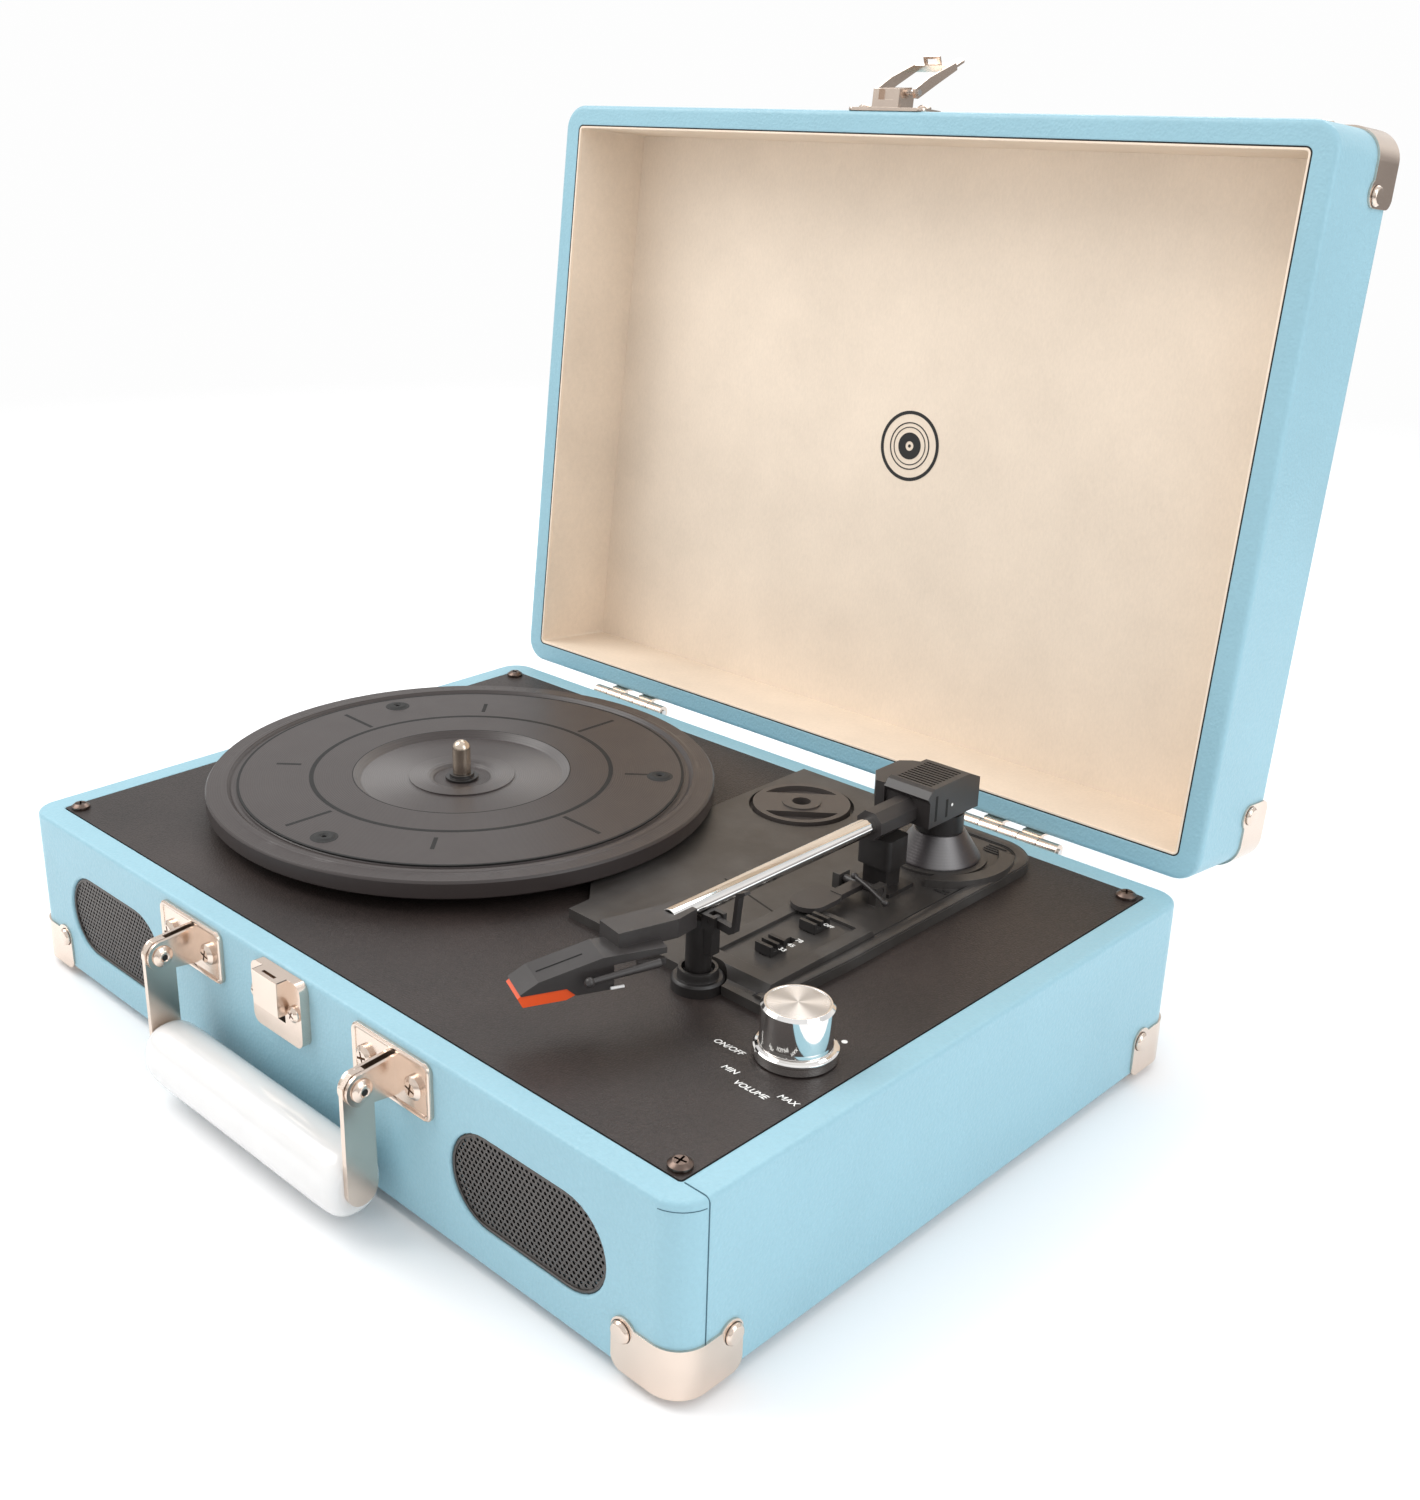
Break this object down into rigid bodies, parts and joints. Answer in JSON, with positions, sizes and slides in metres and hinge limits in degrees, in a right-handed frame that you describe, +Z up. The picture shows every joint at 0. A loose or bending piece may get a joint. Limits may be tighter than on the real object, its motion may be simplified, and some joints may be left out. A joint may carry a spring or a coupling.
{
  "type": "portable suitcase record player",
  "caption": "Suitcase record player: latched hinged lid, belt-driven platter, lifting tonearm, swinging carry handle, twin oval front speakers, rotary volume knob.",
  "frame": {"origin": "centre of the case's underside, on the bottom panel's lower face; the rubber feet stand 4 mm below it", "axes": "+X to the right seen from the front, +Y back towards the lid hinges, +Z up"},
  "size_m": [0.3598, 0.3652, 0.3445],
  "materials": {
    "blue_vinyl": "grained, satin",
    "cream_paper": "matt, finely textured",
    "fibreboard": "raw",
    "pine": "raw",
    "black_deck": "fine grain, satin",
    "black_rubber": "matt",
    "black_steel": "blackened",
    "black_mesh": "perforated, satin",
    "speaker_black": "paper cone and pressed frame",
    "nickel": "bright nickel plate",
    "chrome": "bright",
    "steel": "turned",
    "bronze": "turned",
    "black_plastic": "matt",
    "platter_black": "satin, ribbed",
    "adapter_black": "satin",
    "white_plastic": "glossy",
    "red_plastic": "satin",
    "green_board": "laminate"
  },
  "bodies": {
    "case": {"base_case": "blue_vinyl", "bottom_panel": "fibreboard", "rubber_feet": "black_rubber", "corner_blocks": "pine", "deck_panel": "black_deck", "deck_screws": "black_steel", "base_corner_guards": "nickel", "base_guard_rivets": "nickel", "speaker_grilles": "black_mesh", "speaker_drivers": "speaker_black", "handle_brackets": "nickel", "bracket_screws": "nickel", "handle_rivets": "nickel", "latch_keeper": "nickel", "keeper_screws": "nickel", "hinge_base_leaves": "nickel", "hinge_pins": "steel", "hinge_base_screws": "nickel", "plinth": "black_plastic", "tonearm_base": "black_plastic", "arm_rest_post": "black_plastic", "cue_lift_post": "black_plastic", "platter_bearing": "bronze", "spindle": "steel", "spindle_clip": "black_plastic", "drive_motor": "steel", "drive_belt": "black_rubber", "circuit_board": "green_board", "volume_pot": "steel", "socket_plate": "black_plastic", "audio_sockets": "nickel", "power_socket": "black_plastic"},
    "lid": {"lid_shell": "blue_vinyl", "lid_lining": "cream_paper", "lid_corner_guards": "nickel", "lid_guard_rivets": "nickel", "hinge_lid_leaves": "nickel", "hinge_lid_screws": "nickel", "latch_base": "nickel", "latch_screws": "nickel", "latch_pin": "steel"},
    "hasp": {"latch_hasp": "nickel"},
    "handle": {"handle_arms": "nickel", "handle_grip": "white_plastic"},
    "turntable": {"platter": "platter_black", "platter_buttons": "black_rubber"},
    "motor_rotor": {"motor_pulley": "bronze"},
    "volume_control": {"volume_knob": "chrome"},
    "speed_switch": {"speed_slider": "black_plastic"},
    "autostop_switch": {"autostop_slider": "black_plastic"},
    "arm_swivel": {"arm_yoke": "black_plastic"},
    "tonearm": {"pivot_block": "black_plastic", "tonearm_tube": "chrome", "headshell": "black_plastic", "finger_lift": "black_plastic", "stylus": "red_plastic"},
    "rest_clip": {"arm_rest_clip": "black_plastic"},
    "cue_handle": {"cue_lever": "black_plastic"},
    "cue_rest": {"cue_platform": "black_plastic"},
    "record_adapter": {"adapter_45": "adapter_black"}
  },
  "joints": [
    {"name": "lid_hinge", "type": "hinge", "parent": "case", "child": "lid", "pos_m": [0, 0.1333, 0.06], "axis": [1, 0, 0], "range_deg": [-3.7, 96.3]},
    {"name": "hasp_pivot", "type": "hinge", "parent": "lid", "child": "hasp", "pos_m": [-0.001, 0.17356, 0.3272], "axis": [1, 0, 0], "range_deg": [-10, 152]},
    {"name": "handle_swing", "type": "hinge", "parent": "case", "child": "handle", "pos_m": [0, -0.1433, 0.0495], "axis": [1, 0, 0], "range_deg": [-115, 0]},
    {"name": "platter_spin", "type": "hinge", "parent": "case", "child": "turntable", "pos_m": [-0.066, 0.001, 0.07], "axis": [0, 0, 1], "continuous": true},
    {"name": "motor_spin", "type": "hinge", "parent": "case", "child": "motor_rotor", "pos_m": [-0.12681, 0.06181, 0.06], "axis": [0, 0, 1], "continuous": true},
    {"name": "volume_turn", "type": "hinge", "parent": "case", "child": "volume_control", "pos_m": [0.149, -0.0503, 0.07], "axis": [0, 0, 1], "range_deg": [-270, 0]},
    {"name": "speed_slide", "type": "slide", "parent": "case", "child": "speed_switch", "axis": [0, 1, 0], "range_m": [0, 0.008]},
    {"name": "autostop_slide", "type": "slide", "parent": "case", "child": "autostop_switch", "axis": [0, 1, 0], "range_m": [0, 0.0035]},
    {"name": "tonearm_swing", "type": "hinge", "parent": "case", "child": "arm_swivel", "pos_m": [0.101, 0.088, 0.08], "axis": [0, 0, 1], "range_deg": [-42, 0]},
    {"name": "tonearm_lift", "type": "hinge", "parent": "arm_swivel", "child": "tonearm", "pos_m": [0.101, 0.088, 0.091], "axis": [1, 0, 0], "range_deg": [-12, 0]},
    {"name": "clip_swing", "type": "hinge", "parent": "case", "child": "rest_clip", "pos_m": [0.108, -0.041, 0.088], "axis": [0, -1, 0], "range_deg": [-4, 96]},
    {"name": "cue_lever_tilt", "type": "hinge", "parent": "case", "child": "cue_handle", "pos_m": [0.101, 0.0415, 0.07], "axis": [1, 0, 0], "range_deg": [-25, 0]},
    {"name": "cue_platform_slide", "type": "slide", "parent": "case", "child": "cue_rest", "axis": [0, 0, 1], "range_m": [-0.005, 0]},
    {"name": "adapter_lift_out", "type": "slide", "parent": "case", "child": "record_adapter", "axis": [0, 0, -1], "range_m": [-0.05, 0]}
  ],
  "couplings": [
    {"joint": "motor_spin", "follows": "platter_spin", "ratio": 11.469},
    {"joint": "cue_platform_slide", "follows": "cue_lever_tilt", "m_per_rad": 0.011459}
  ]
}
